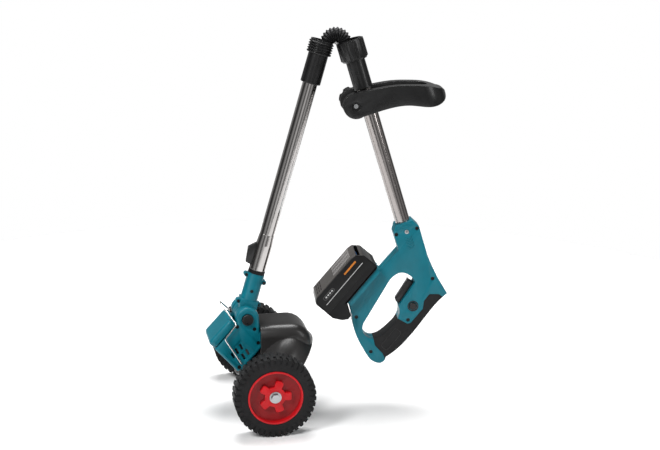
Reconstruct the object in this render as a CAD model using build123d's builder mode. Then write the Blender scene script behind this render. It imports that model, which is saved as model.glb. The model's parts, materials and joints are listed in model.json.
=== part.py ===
"""Folding cordless lawn edger: wheeled cutting head, swivelling tube, folding joint, D-handle.

The machine is modelled folded.  The origin lies on the floor, midway under the wheel axle;
+X points from the cutting head towards the hand grip, +Y away from the switch button, +Z up.
"""
from build123d import *
from math import cos, radians, sin
import os

os.makedirs("parts", exist_ok=True)

# ---------------------------------------------------------------- driving dimensions (mm, degrees)
WHEEL_RADIUS = 68.5
WHEEL_WIDTH = 36.0
TRACK_OUTER = 322.0            # over the outer faces of the two wheels
HUB_RADIUS = 46.2
LUG_COUNT = 40

PIVOT_X, PIVOT_Z = -28.3, 166.3    # head tilt axis, parallel to Y
MOTOR_TILT = 47.0              # motor axis from the vertical
MOTOR_OFFSET = 43.0            # head tilt axis to motor axis
TUBE_LEAN = 16.3               # lower tube from the vertical
HEAD_TWIST = -7.0              # swivel left between head and tube
FOLD_ANGLE = 147.4             # from straight to folded

TUBE_RADIUS = 12.7
TUBE_WALL = 1.2
FOLD_HEIGHT = 492.0            # head tilt axis to folding joint, along the lower tube
HINGE_OFFSET = 22.9            # hinge pin from the tube axes
HINGE_RISE = 0.8               # hinge pin above the collar mouth

FIT = 0.05                     # radial clearance of a pin or a shaft
GAP = 0.3                      # between faces that slide past each other

# ---------------------------------------------------------------- frames
PIVOT = Vector(PIVOT_X, 0, PIVOT_Z)
MOTOR = Plane(
    origin=PIVOT - Vector(cos(radians(MOTOR_TILT)), 0, sin(radians(MOTOR_TILT))) * MOTOR_OFFSET,
    x_dir=(cos(radians(MOTOR_TILT)), 0, sin(radians(MOTOR_TILT))),
    z_dir=(-sin(radians(MOTOR_TILT)), 0, cos(radians(MOTOR_TILT))),
)
NECK = Plane(
    origin=PIVOT,
    x_dir=(cos(radians(TUBE_LEAN)), 0, -sin(radians(TUBE_LEAN))),
    z_dir=(sin(radians(TUBE_LEAN)), 0, cos(radians(TUBE_LEAN))),
)


def spun(frame, angles):
    """A frame turned about its own axes by angles in degrees."""
    return Plane(frame.location * Location((0, 0, 0), angles))


def on(frame, plane=Plane.XY, at=(0, 0, 0)):
    """A drawing plane given in a leaning frame's own axes, with its origin at the point at."""
    local = Plane(origin=at, x_dir=plane.x_dir, z_dir=plane.z_dir)
    return Plane(frame.location * local.location)


def axis_z(frame, at=(0, 0, 0)):
    """The line along a frame's own Z through the point at."""
    placed = on(frame, Plane.XY, at)
    return Axis(placed.origin, placed.z_dir)


def axis_y(frame, at=(0, 0, 0)):
    """The line along a frame's own Y through the point at."""
    placed = on(frame, Plane.XY, at)
    return Axis(placed.origin, placed.y_dir)


SHAFT = spun(NECK, (0, 0, HEAD_TWIST))
HINGE = on(SHAFT, at=(HINGE_OFFSET, 0, FOLD_HEIGHT + HINGE_RISE))
FOLDED = spun(HINGE, (0, FOLD_ANGLE, 0))
# the upper tube's frame: +Z runs from the folding joint to the hand grip
UPPER = on(FOLDED, at=(-HINGE_OFFSET, 0, HINGE_RISE))


def keep(piece, name):
    """Label a finished piece and write it as the node of that name."""
    piece.part.label = name
    export_step(piece.part, f"parts/{name}.step")


# ---------------------------------------------------------------- shared features
def ring(frame, inner, outer, bottom, top):
    """A plain sleeve about a frame's Z axis."""
    with BuildPart() as sleeve:
        with BuildSketch(on(frame, at=(0, 0, bottom))):
            Circle(outer)
            if inner:
                Circle(inner, mode=Mode.SUBTRACT)
        extrude(amount=top - bottom)
    return sleeve


def turned(frame, points, axis):
    """A solid turned about an axis from (radius, height) points in a frame's XZ plane."""
    with BuildPart() as body:
        with BuildSketch(on(frame, Plane.XZ)):
            with BuildLine():
                Polyline(*points, close=True)
            make_face()
        revolve(axis=axis)
    return body


def smooth(points, count=6):
    """A smooth curve through the points, laid out as circular arcs so that it offsets exactly."""
    with BuildLine() as curve:
        path = Spline(*points, mode=Mode.PRIVATE)
        for number in range(count):
            ThreePointArc(*(path @ ((number + share) / count) for share in (0, 0.5, 1)))
    return curve.line


def cross_screws(frame, places, head_face, length, head_radius, shank_radius, head_height):
    """Screws along a frame's Y: heads just inside the face at y = head_face, shanks inwards."""
    drive_radius = head_radius * 0.45
    drive_depth = head_height * 0.6
    inward = 1 if head_face < 0 else -1
    with BuildPart() as screws:
        with BuildSketch(on(frame, Plane.XZ, (0, head_face, 0))):
            with Locations(*places):
                Circle(head_radius)
        extrude(amount=-inward * head_height)
        with BuildSketch(on(frame, Plane.XZ, (0, head_face + inward * head_height, 0))):
            with Locations(*places):
                Circle(shank_radius)
        extrude(amount=-inward * length)
        with BuildSketch(on(frame, Plane.XZ, (0, head_face, 0))):
            with Locations(*places):
                RegularPolygon(drive_radius, 6)
        extrude(amount=-inward * drive_depth, mode=Mode.SUBTRACT)
    return screws


# ================================================================ cutting head
HEAD_HALF = 36.0               # half width of the motor housing
HEAD_WALL = 2.5
HEAD_EDGE = 5.0                # rounding of the housing's side faces
HEAD_FLOOR = -60.0             # just under the lower wall of the housing
EAR_RADIUS = 20.5
NECK_ROOM = 3.0                # from the ear's edge to the inside of the neck's slot
SLOT_HALF = 16.3               # half width of the slot that the neck turns in
CHEEK = 2.7                    # thickness of the plates beside the neck
TILT_PIN_RADIUS = 5.0
BUTTON_RADIUS = 9.8
SHAFT_OPENING = 15.0
SCREW_SINK = 1.6
SCREW_RECESS = 3.4             # radius of the recess over a screw head
PANEL_CENTRE, PANEL_SIZE, PANEL_SINK = (-11, -32), (38, 34), 0.9
SLOT_SIZE, SLOT_PITCH, SLOT_ROW_PITCH = (12, 4.2), 10.5, 15
HEAD_OUTLINE = [(-33, 7), (-38, -50), (-34, -54.5), (42, -54.5), (50, -48), (50, -41), (40, -32.5), (56, -16)]
HEAD_SCREW_PLACES = [(22, 5), (38, -21), (24, -43), (-30, -47)]
EAR = (MOTOR_OFFSET, 0)


def head_outline():
    """Side view of the motor housing with its pivot ear."""
    start = (EAR[0] + EAR_RADIUS * 0.86, -EAR_RADIUS * 0.51)
    end = (EAR[0] - EAR_RADIUS * 0.5, EAR_RADIUS * 0.866)
    with BuildSketch() as outline:
        with BuildLine():
            Polyline(*HEAD_OUTLINE, start)
            ThreePointArc(start, (EAR[0] + EAR_RADIUS * 0.707, EAR_RADIUS * 0.707), end)
            Polyline(end, (26, 9), HEAD_OUTLINE[0])
        make_face()
    return outline.sketch


def head_shell(side, name):
    """One half of the motor housing: side is +1 for the -Y half and -1 for the +Y half."""
    inner = offset(head_outline(), -HEAD_WALL)
    with BuildPart() as shell:
        with BuildSketch(on(MOTOR, Plane.XZ)):
            add(head_outline())
        extrude(amount=side * HEAD_HALF)
        outer_face = shell.faces().sort_by(axis_y(MOTOR))[0 if side > 0 else -1]
        fillet(outer_face.edges(), HEAD_EDGE)
        with BuildSketch(on(MOTOR, Plane.XZ)):
            add(inner)
        extrude(amount=side * (HEAD_HALF - HEAD_WALL), mode=Mode.SUBTRACT)
        with BuildSketch(on(MOTOR, Plane.XZ, (0, -side * SLOT_HALF, 0))):
            with Locations(EAR):
                Circle(EAR_RADIUS - 1)
        extrude(amount=side * CHEEK)
        # slot that the neck turns in
        with BuildSketch(on(MOTOR, Plane.XZ)):
            with Locations(EAR):
                Circle(EAR_RADIUS + NECK_ROOM)
        extrude(amount=side * SLOT_HALF, mode=Mode.SUBTRACT)
        # bore for the tilt pin, and a wider one through the outer wall for its end
        with BuildSketch(on(MOTOR, Plane.XZ)):
            with Locations(EAR):
                Circle(TILT_PIN_RADIUS + FIT)
        extrude(amount=side * HEAD_HALF, mode=Mode.SUBTRACT)
        with BuildSketch(on(MOTOR, Plane.XZ, (0, -side * (HEAD_HALF - HEAD_WALL - 1), 0))):
            with Locations(EAR):
                Circle(BUTTON_RADIUS + GAP)
        extrude(amount=side * (HEAD_WALL + 2), mode=Mode.SUBTRACT)
        # shaft opening in the lower wall
        with BuildSketch(on(MOTOR, at=(0, 0, HEAD_FLOOR))):
            Circle(SHAFT_OPENING)
        extrude(amount=12, mode=Mode.SUBTRACT)
        # cooling slots in a sunk panel
        with BuildSketch(on(MOTOR, Plane.XZ, (0, -side * (HEAD_HALF - PANEL_SINK), 0))):
            with Locations(PANEL_CENTRE):
                RectangleRounded(*PANEL_SIZE, 3)
        extrude(amount=side * 2, mode=Mode.SUBTRACT)
        with BuildSketch(on(MOTOR, Plane.XZ, (0, -side * (HEAD_HALF - HEAD_WALL - 1), 0))):
            with Locations(PANEL_CENTRE):
                with GridLocations(SLOT_PITCH, SLOT_ROW_PITCH, 3, 2):
                    SlotOverall(*SLOT_SIZE, rotation=70)
        extrude(amount=side * (HEAD_WALL + 2), mode=Mode.SUBTRACT)
        # screw recesses
        with BuildSketch(on(MOTOR, Plane.XZ, (0, -side * HEAD_HALF, 0))):
            with Locations(*HEAD_SCREW_PLACES):
                Circle(SCREW_RECESS)
        extrude(amount=-side * SCREW_SINK, mode=Mode.SUBTRACT)
        add(head_screws.part, mode=Mode.SUBTRACT)
    keep(shell, name)


head_screws = cross_screws(MOTOR, HEAD_SCREW_PLACES, -HEAD_HALF + 0.4, 14, 3.1, 1.6, 1.1)
keep(head_screws, "head_screws")
head_shell(1, "head_shell_near")
head_shell(-1, "head_shell_far")

# ---------------------------------------------------------------- cap over the motor's top
CAP_LENGTH = 56.0
CAP_WALL = 3.0
CAP_ROOF = 7.0
CAP_CORNER, CAP_EDGE = 8.0, 6.0
CAP_CENTRE = -4.0
CAP_BOTTOM, CAP_TOP = 9.6, 23.0
with BuildPart() as motor_cap:
    with BuildSketch(on(MOTOR, at=(CAP_CENTRE, 0, CAP_BOTTOM))):
        RectangleRounded(CAP_LENGTH, 2 * HEAD_HALF, CAP_CORNER)
    extrude(amount=CAP_TOP - CAP_BOTTOM)
    fillet(motor_cap.faces().sort_by(axis_z(MOTOR))[-1].edges(), CAP_EDGE)
    with BuildSketch(on(MOTOR, at=(CAP_CENTRE, 0, CAP_BOTTOM))):
        RectangleRounded(CAP_LENGTH - 2 * CAP_WALL, 2 * (HEAD_HALF - CAP_WALL), CAP_CORNER - CAP_WALL)
    extrude(amount=CAP_TOP - CAP_BOTTOM - CAP_ROOF, mode=Mode.SUBTRACT)
keep(motor_cap, "motor_cap")

# ---------------------------------------------------------------- motor and cutter
MOTOR_CAN_RADIUS = 21.0
CAN_WALL, END_PLATE = 2.5, 3.0
MOTOR_BOTTOM, MOTOR_TOP = -50.0, 4.0
ROTOR_SHAFT_RADIUS = 4.0
BEARING_RADIUS = 11.0
BEARING_HEIGHT = 7.0

with BuildPart() as motor_can:
    with BuildSketch(on(MOTOR, at=(0, 0, MOTOR_BOTTOM))):
        Circle(MOTOR_CAN_RADIUS)
        Circle(MOTOR_CAN_RADIUS - CAN_WALL, mode=Mode.SUBTRACT)
    extrude(amount=MOTOR_TOP - MOTOR_BOTTOM)
    for height in (MOTOR_BOTTOM, MOTOR_TOP - END_PLATE):
        with BuildSketch(on(MOTOR, at=(0, 0, height))):
            Circle(MOTOR_CAN_RADIUS - 1)
            Circle(BEARING_RADIUS - 1.5, mode=Mode.SUBTRACT)
        extrude(amount=END_PLATE)
keep(motor_can, "motor_can")

with BuildPart() as motor_bearings:
    for height in (MOTOR_BOTTOM + END_PLATE, MOTOR_TOP - END_PLATE - BEARING_HEIGHT):
        with BuildSketch(on(MOTOR, at=(0, 0, height))):
            Circle(BEARING_RADIUS)
            Circle(ROTOR_SHAFT_RADIUS + FIT, mode=Mode.SUBTRACT)
        extrude(amount=BEARING_HEIGHT)
keep(motor_bearings, "motor_bearings")

BLADE_HEIGHT = -86.0
BLADE_RADIUS = 73.0
BLADE_THICKNESS = 2.0
BLADE_WIDTH = 26.0
ARBOR_DROP = 9.0               # how far the motor shaft stands out below the blade
ARMATURE_RISE, ARMATURE_LENGTH = 12.0, 28.0
FLANGE_RADIUS, FLANGE_THICKNESS = 17.0, 5.0
COLLAR_RADIUS, COLLAR_LENGTH = 9.0, 12.0
BLADE_NUT_RADIUS, BLADE_NUT_HEIGHT = 7.5, 4.5
NUT_SKIRT_RADIUS, NUT_SKIRT_HEIGHT = 10.0, 1.5
with BuildPart() as rotor:
    with BuildSketch(on(MOTOR, at=(0, 0, BLADE_HEIGHT - ARBOR_DROP))):
        Circle(ROTOR_SHAFT_RADIUS)
    extrude(amount=MOTOR_TOP - BLADE_HEIGHT + ARBOR_DROP - 2)
    with BuildSketch(on(MOTOR, at=(0, 0, MOTOR_BOTTOM + ARMATURE_RISE))):
        Circle(MOTOR_CAN_RADIUS - 4)
        with PolarLocations(MOTOR_CAN_RADIUS - 4, 5):
            SlotOverall(7, 2.4, mode=Mode.SUBTRACT)
    extrude(amount=ARMATURE_LENGTH)
keep(rotor, "rotor")

with BuildPart() as blade_flange:
    with BuildSketch(on(MOTOR, at=(0, 0, BLADE_HEIGHT + BLADE_THICKNESS))):
        Circle(FLANGE_RADIUS)
        Circle(ROTOR_SHAFT_RADIUS, mode=Mode.SUBTRACT)
    extrude(amount=FLANGE_THICKNESS)
    with BuildSketch(on(MOTOR, at=(0, 0, BLADE_HEIGHT + BLADE_THICKNESS + FLANGE_THICKNESS))):
        Circle(COLLAR_RADIUS)
        Circle(ROTOR_SHAFT_RADIUS, mode=Mode.SUBTRACT)
    extrude(amount=COLLAR_LENGTH)
keep(blade_flange, "blade_flange")

with BuildPart() as cutter_blade:
    with BuildSketch(on(MOTOR, at=(0, 0, BLADE_HEIGHT))):
        Rectangle(2 * BLADE_RADIUS, BLADE_WIDTH)
        with Locations((BLADE_RADIUS, BLADE_WIDTH / 2), (-BLADE_RADIUS, -BLADE_WIDTH / 2)):
            Rectangle(34, 14, rotation=-18, mode=Mode.SUBTRACT)
        Circle(FLANGE_RADIUS)
        Circle(ROTOR_SHAFT_RADIUS, mode=Mode.SUBTRACT)
    extrude(amount=BLADE_THICKNESS)
keep(cutter_blade, "cutter_blade")

with BuildPart() as blade_nut:
    with BuildSketch(on(MOTOR, at=(0, 0, BLADE_HEIGHT - NUT_SKIRT_HEIGHT - BLADE_NUT_HEIGHT))):
        RegularPolygon(BLADE_NUT_RADIUS, 6)
        Circle(ROTOR_SHAFT_RADIUS, mode=Mode.SUBTRACT)
    extrude(amount=BLADE_NUT_HEIGHT)
    with BuildSketch(on(MOTOR, at=(0, 0, BLADE_HEIGHT - NUT_SKIRT_HEIGHT))):
        Circle(NUT_SKIRT_RADIUS)
        Circle(ROTOR_SHAFT_RADIUS, mode=Mode.SUBTRACT)
    extrude(amount=NUT_SKIRT_HEIGHT)
keep(blade_nut, "blade_nut")

# ---------------------------------------------------------------- guard
GUARD_WALL = 2.6
GUARD_SPAN = 236.0             # degrees that the skirt runs round the cutter, centred on +X
GUARD_RADIUS = 90.0
GUARD_TOP, GUARD_RIM = -58.0, -117.0
DISC_RADIUS = 47.0             # the plate under the motor housing
DISC_THICKNESS = 6.0
PAST = 10.0                    # how far a cut runs past the face that it opens
AXLE_RADIUS = 4.0
# the rounded lobe behind the motor housing, from the tilt axis
LOBE_FRONT, LOBE_REAR = 21.8, 113.0
LOBE_TOP, LOBE_BOTTOM = -13.0, -85.0
LOBE_HALF = 48.0
LOBE_CURVE, LOBE_EDGE = 38.0, 20.0
LOBE_HOLLOW_FRONT = 42.0


def guard_profile(inset):
    """Half section of the hood in (radius, height), moved inwards by the wall for its inside."""
    low = GUARD_RIM - inset
    with BuildSketch() as section:
        with BuildLine():
            shoulder = (50, GUARD_TOP - inset)
            brow = (79 - inset * 0.7, GUARD_TOP - 13 - inset * 0.7)
            rim = (GUARD_RADIUS - inset, GUARD_TOP - 38)
            Polyline((0, low), (0, GUARD_TOP - inset), shoulder)
            ThreePointArc(shoulder, brow, rim)
            Polyline(rim, (GUARD_RADIUS - inset, low), (0, low))
        make_face()
    return section.sketch


def lobe(front, inset):
    """The rounded lobe, moved inwards by the wall for its inside."""
    frame = on(Plane.XY, Plane.XZ, (PIVOT_X, LOBE_HALF - inset, PIVOT_Z))
    low, high = LOBE_BOTTOM, LOBE_TOP - inset
    rear = LOBE_REAR - inset
    with BuildPart() as solid:
        with BuildSketch(frame):
            with BuildLine():
                Polyline((front, low), (front, high), (rear - LOBE_CURVE, high))
                RadiusArc((rear - LOBE_CURVE, high), (rear, high - LOBE_CURVE), LOBE_CURVE)
                Polyline((rear, high - LOBE_CURVE), (rear, low), (front, low))
            make_face()
        extrude(amount=2 * (LOBE_HALF - inset))
        sides = solid.faces().filter_by(Axis.Y).edges()
        fillet(sides.filter_by(lambda edge: edge.center().X > PIVOT_X + front + 1
                               and edge.center().Z > PIVOT_Z + low + 1), LOBE_EDGE)
    return solid.part


with BuildPart() as guard:
    with BuildSketch(on(spun(MOTOR, (0, 0, -GUARD_SPAN / 2)), Plane.XZ)):
        add(guard_profile(0))
    revolve(axis=axis_z(MOTOR), revolution_arc=GUARD_SPAN)
    with BuildSketch(on(MOTOR, at=(0, 0, GUARD_TOP - DISC_THICKNESS))):
        Circle(DISC_RADIUS)
    extrude(amount=DISC_THICKNESS)
    add(lobe(LOBE_FRONT, 0))
    with BuildSketch(on(spun(MOTOR, (0, 0, -GUARD_SPAN / 2 - 1)), Plane.XZ)):
        add(guard_profile(GUARD_WALL))
    revolve(axis=axis_z(MOTOR), revolution_arc=GUARD_SPAN + 2, mode=Mode.SUBTRACT)
    with BuildSketch(on(MOTOR, at=(0, 0, GUARD_RIM - PAST))):
        Circle(DISC_RADIUS - GUARD_WALL)
    extrude(amount=GUARD_TOP - GUARD_RIM + PAST - GUARD_WALL, mode=Mode.SUBTRACT)
    add(lobe(LOBE_HOLLOW_FRONT, GUARD_WALL), mode=Mode.SUBTRACT)
    # the rim is flat, and the lobe leaves room for the motor housing
    with BuildSketch(on(MOTOR, at=(0, 0, GUARD_RIM))):
        Circle(2 * GUARD_RADIUS)
    extrude(amount=-6 * PAST, mode=Mode.SUBTRACT)
    with BuildSketch(on(MOTOR, Plane.XZ, (0, HEAD_HALF + 1, 0))):
        add(offset(head_outline(), 1))
    extrude(amount=2 * (HEAD_HALF + 1), mode=Mode.SUBTRACT)
    with BuildSketch(on(MOTOR, at=(0, 0, GUARD_TOP - DISC_THICKNESS))):
        Circle(SHAFT_OPENING)
    extrude(amount=DISC_THICKNESS, mode=Mode.SUBTRACT)
    with BuildSketch(on(Plane.XY, Plane.XZ, (0, TRACK_OUTER / 2, WHEEL_RADIUS))):
        Circle(AXLE_RADIUS)
    extrude(amount=TRACK_OUTER, mode=Mode.SUBTRACT)
keep(guard, "guard")

# ---------------------------------------------------------------- tilt pin and its push button
with BuildPart() as tilt_pin:
    with BuildSketch(on(MOTOR, Plane.XZ, (MOTOR_OFFSET, 34, 0))):
        Circle(TILT_PIN_RADIUS)
    extrude(amount=66)
    with BuildSketch(on(MOTOR, Plane.XZ, (MOTOR_OFFSET, HEAD_HALF, 0))):
        Circle(BUTTON_RADIUS)
    extrude(amount=3.5)
    with BuildSketch(on(MOTOR, Plane.XZ, (MOTOR_OFFSET, -20, 0))):
        Circle(3.2)
    extrude(amount=12, mode=Mode.SUBTRACT)
keep(tilt_pin, "tilt_pin")

with BuildPart() as tilt_button:
    with BuildSketch(on(MOTOR, Plane.XZ, (MOTOR_OFFSET, -HEAD_HALF - 0.4, 0))):
        Circle(BUTTON_RADIUS)
    extrude(amount=4.6)
    fillet(tilt_button.faces().sort_by(axis_y(MOTOR))[0].edges(), 1.6)
    with BuildSketch(on(MOTOR, Plane.XZ, (MOTOR_OFFSET, -25, 0))):
        Circle(2.9)
    extrude(amount=HEAD_HALF - 25 + 0.4)
keep(tilt_button, "tilt_button")

# ---------------------------------------------------------------- wheels
BUSHING_RADIUS = 7.0
TREAD_DEPTH = 6.5
LUG_SIZE = (10.5, 6.6)         # radial and round the tyre
LUG_ROWS = [0.0, 15.0]         # distance of each row from the wheel's inner face
LUG_RUN = 21.0
WHEEL_INNER = TRACK_OUTER / 2 - WHEEL_WIDTH
RIM_WALL = 3.0
WEB_DEPTH = 12.0               # wheel face to the star on the web
WEB_THICKNESS = 4.0
STAR_WAIST, STAR_HEIGHT = 15.0, 7.0
STAR_RADIUS = 26.5


def wheel_plane(side, depth=0.0):
    """A plane across the axle, depth inside the wheel's outer face; extrude by side to go outwards."""
    return on(Plane.XY, Plane.XZ, (0, -side * (TRACK_OUTER / 2 - depth), WHEEL_RADIUS))


def tyre(side, name):
    """Solid rubber tyre with two staggered rows of block lugs."""
    lug_centre = WHEEL_RADIUS - LUG_SIZE[0] / 2 + 0.5
    with BuildPart() as body:
        with BuildSketch(wheel_plane(side, WHEEL_WIDTH - 1)):
            Circle(WHEEL_RADIUS - TREAD_DEPTH)
            Circle(HUB_RADIUS, mode=Mode.SUBTRACT)
        extrude(amount=side * (WHEEL_WIDTH - 2))
        chamfer(body.edges().filter_by(GeomType.CIRCLE).group_by(SortBy.RADIUS)[-1], 2.5)
        for row, start in enumerate(LUG_ROWS):
            with BuildSketch(wheel_plane(side, WHEEL_WIDTH - start)):
                with PolarLocations(lug_centre, LUG_COUNT, start_angle=row * 180 / LUG_COUNT):
                    Rectangle(LUG_SIZE[0] + 1, LUG_SIZE[1])
                Circle(WHEEL_RADIUS, mode=Mode.INTERSECT)
            extrude(amount=side * LUG_RUN)
    keep(body, name)


def star(reach, waist, lobes=5, half_width=6.5):
    """A raised boss with rounded arms."""
    with BuildSketch() as boss:
        Circle(waist)
        with PolarLocations((reach + waist) / 2 - 2, lobes):
            RectangleRounded(reach - waist + 6, 2 * half_width, 3)
    return boss.sketch


def hub(side, name):
    """Moulded wheel centre: rim, recessed web, five-armed boss and bore for the bushing."""
    with BuildPart() as body:
        with BuildSketch(wheel_plane(side, WHEEL_WIDTH - 1)):
            Circle(HUB_RADIUS)
            Circle(HUB_RADIUS - RIM_WALL, mode=Mode.SUBTRACT)
        extrude(amount=side * (WHEEL_WIDTH - 1))
        with BuildSketch(wheel_plane(side, WEB_DEPTH + WEB_THICKNESS)):
            Circle(HUB_RADIUS - RIM_WALL)
        extrude(amount=side * WEB_THICKNESS)
        with BuildSketch(wheel_plane(side, WEB_DEPTH)):
            add(star(STAR_RADIUS, STAR_WAIST))
        extrude(amount=side * STAR_HEIGHT)
        with BuildSketch(wheel_plane(side, WHEEL_WIDTH - 1)):
            Circle(12)
            with PolarLocations(27, 5):
                Rectangle(32, 2.5)
        extrude(amount=side * (WHEEL_WIDTH - WEB_DEPTH - WEB_THICKNESS))
        with BuildSketch(wheel_plane(side, WHEEL_WIDTH)):
            Circle(BUSHING_RADIUS)
        extrude(amount=side * WHEEL_WIDTH, mode=Mode.SUBTRACT)
    keep(body, name)


def bushing(side, name):
    """Plain bearing pressed into the hub."""
    with BuildPart() as body:
        with BuildSketch(wheel_plane(side, WHEEL_WIDTH - 1)):
            Circle(BUSHING_RADIUS)
            Circle(AXLE_RADIUS + FIT, mode=Mode.SUBTRACT)
        extrude(amount=side * (WHEEL_WIDTH - 6))
    keep(body, name)


for wheel_side, place in ((1, "near"), (-1, "far")):
    tyre(wheel_side, f"tyre_{place}")
    hub(wheel_side, f"wheel_hub_{place}")
    bushing(wheel_side, f"wheel_bushing_{place}")

BOLT_HEAD_DEPTH = 1.0          # wheel face to bolt head
BOLT_HEAD_RADIUS, BOLT_HEAD_HEIGHT = 7.5, 5.5
WASHER_RADIUS, WASHER_THICKNESS = 10.0, 1.5
AXLE_END = 76.0
with BuildPart() as axle_bolts:
    for side in (1, -1):
        with BuildSketch(wheel_plane(side, TRACK_OUTER / 2 - AXLE_END)):
            Circle(AXLE_RADIUS)
        extrude(amount=side * (TRACK_OUTER / 2 - AXLE_END - BOLT_HEAD_DEPTH))
        with BuildSketch(wheel_plane(side, BOLT_HEAD_DEPTH + WASHER_THICKNESS)):
            RegularPolygon(BOLT_HEAD_RADIUS, 6)
        extrude(amount=side * BOLT_HEAD_HEIGHT)
keep(axle_bolts, "axle_bolts")

with BuildPart() as axle_washers:
    for side in (1, -1):
        with BuildSketch(wheel_plane(side, BOLT_HEAD_DEPTH + 2 * WASHER_THICKNESS)):
            Circle(WASHER_RADIUS)
            Circle(AXLE_RADIUS, mode=Mode.SUBTRACT)
        extrude(amount=side * WASHER_THICKNESS)
keep(axle_washers, "axle_washers")

BRACKET_START = GUARD_RADIUS - 2
BRACKET_RADIUS = 13.0
AXLE_NUT_RADIUS, AXLE_NUT_HEIGHT = 7.2, 4.4
with BuildPart() as axle_brackets:
    for side in (1, -1):
        with BuildSketch(wheel_plane(side, TRACK_OUTER / 2 - BRACKET_START)):
            Circle(BRACKET_RADIUS)
            Circle(AXLE_RADIUS, mode=Mode.SUBTRACT)
        extrude(amount=side * (WHEEL_INNER - BRACKET_START - 0.6))
    add(guard.part, mode=Mode.SUBTRACT)
keep(axle_brackets, "axle_brackets")

with BuildPart() as axle_nuts:
    for side in (1, -1):
        with BuildSketch(wheel_plane(side, TRACK_OUTER / 2 - AXLE_END - 1)):
            RegularPolygon(AXLE_NUT_RADIUS, 6)
            Circle(AXLE_RADIUS, mode=Mode.SUBTRACT)
        extrude(amount=side * AXLE_NUT_HEIGHT)
keep(axle_nuts, "axle_nuts")

# ---------------------------------------------------------------- wire plant guard
WIRE_RADIUS = 1.3
WIRE_SPREAD = 42.0
WIRE_HINGE = (-22, -45)
WIRE_SIDE = [WIRE_HINGE, (-7, 8), (25, 10.5)]
WIRE_TIP = (30.5, 45)
with BuildPart() as plant_guard:
    with BuildLine(MOTOR):
        arm = [(x, -WIRE_SPREAD, z) for x, z in WIRE_SIDE]
        tip = [(WIRE_TIP[0], -7, WIRE_TIP[1]), (WIRE_TIP[0], 7, WIRE_TIP[1])]
        far_arm = [(x, -y, z) for x, y, z in reversed(arm)]
        ends = [(WIRE_HINGE[0], -HEAD_HALF - 1, WIRE_HINGE[1]), (WIRE_HINGE[0], HEAD_HALF + 1, WIRE_HINGE[1])]
        FilletPolyline(ends[0], *arm, *tip, *far_arm, ends[1], radius=4)
    with BuildSketch(on(MOTOR, Plane.XZ, ends[0])):
        Circle(WIRE_RADIUS)
    sweep()
keep(plant_guard, "plant_guard")

# ================================================================ neck
NECK_RADIUS = 15.0
NECK_TOP = 75.0
NECK_BORE = 12.8
BARREL_RADIUS = 19.0
LUG_RADIUS = 3.9
LUGS = [(-17, 70), (17, 62), (-18, 21), (18, 22)]
FLANGE_BOTTOM, FLANGE_TOP = 32.0, 38.0


def neck_shell(side, name):
    """One half of the neck that holds the tube's swivel and turns on the tilt pin."""
    with BuildPart() as shell:
        with BuildSketch(on(NECK, at=(0, 0, 10))):
            Circle(NECK_RADIUS)
        extrude(amount=NECK_TOP - 10)
        with BuildSketch(on(NECK, Plane.XZ, (0, SLOT_HALF - 0.4, 0))):
            Circle(BARREL_RADIUS)
            with Locations((0, 14)):
                Rectangle(2 * NECK_RADIUS, 28)
        extrude(amount=2 * (SLOT_HALF - 0.4))
        with BuildSketch(on(NECK, Plane.XZ, (0, 6, 0))):
            for x, z in LUGS:
                with Locations((x, z), (x * 0.75, z)):
                    Circle(LUG_RADIUS)
        extrude(amount=12)
        with BuildSketch(on(NECK, at=(0, 0, FLANGE_BOTTOM - 4))):
            Circle(NECK_BORE)
        extrude(amount=NECK_TOP, mode=Mode.SUBTRACT)
        with BuildSketch(on(NECK, at=(0, 0, FLANGE_BOTTOM))):
            Circle(NECK_BORE + 1.2)
        extrude(amount=FLANGE_TOP - FLANGE_BOTTOM, mode=Mode.SUBTRACT)
        with BuildSketch(on(NECK, Plane.XZ, (0, 20, 0))):
            Circle(TILT_PIN_RADIUS + FIT)
        extrude(amount=40, mode=Mode.SUBTRACT)
        split(bisect_by=on(NECK, Plane.XZ), keep=Keep.TOP if side > 0 else Keep.BOTTOM)
        add(neck_screws.part, mode=Mode.SUBTRACT)
    keep(shell, name)


neck_screws = cross_screws(NECK, LUGS, -7.2, 11, 2.5, 1.3, 1.3)
keep(neck_screws, "neck_screws")
neck_shell(1, "neck_shell_near")
neck_shell(-1, "neck_shell_far")

# ================================================================ lower tube
FERRULE_BOTTOM = 81.4
FERRULE_RADIUS = 14.4
TUBE_TOP = 480.0
RELEASE_WEDGE = [(-12, 88), (-23.5, 91), (-26, 116.5), (-14.6, 127), (-12, 127)]
WINDOW_DEPTH = 9.0
WINDOW_HALF = 7.0


# the slot that the swivel release button moves in
with BuildPart() as release_window:
    with BuildSketch(on(SHAFT, Plane.XZ, (0, WINDOW_HALF, 0))):
        with Locations((-WINDOW_DEPTH - 10, 107.5)):
            Rectangle(20, 42)
    extrude(amount=2 * WINDOW_HALF)

with BuildPart() as lower_tube:
    with BuildSketch(on(SHAFT, at=(0, 0, FERRULE_BOTTOM + 1))):
        Circle(TUBE_RADIUS)
        Circle(TUBE_RADIUS - TUBE_WALL, mode=Mode.SUBTRACT)
    extrude(amount=TUBE_TOP - FERRULE_BOTTOM - 1)
    add(release_window.part, mode=Mode.SUBTRACT)
keep(lower_tube, "lower_tube")

FERRULE_PROFILE = [
    (TUBE_RADIUS, FERRULE_BOTTOM), (FERRULE_RADIUS - 0.6, FERRULE_BOTTOM),
    (FERRULE_RADIUS, FERRULE_BOTTOM + 0.8), (FERRULE_RADIUS, 127), (TUBE_RADIUS + 0.2, 146),
    (TUBE_RADIUS, 146),
]
with BuildPart() as ferrule:
    add(turned(SHAFT, FERRULE_PROFILE, axis_z(SHAFT)).part)
    add(release_window.part, mode=Mode.SUBTRACT)
keep(ferrule, "tube_ferrule")

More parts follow.
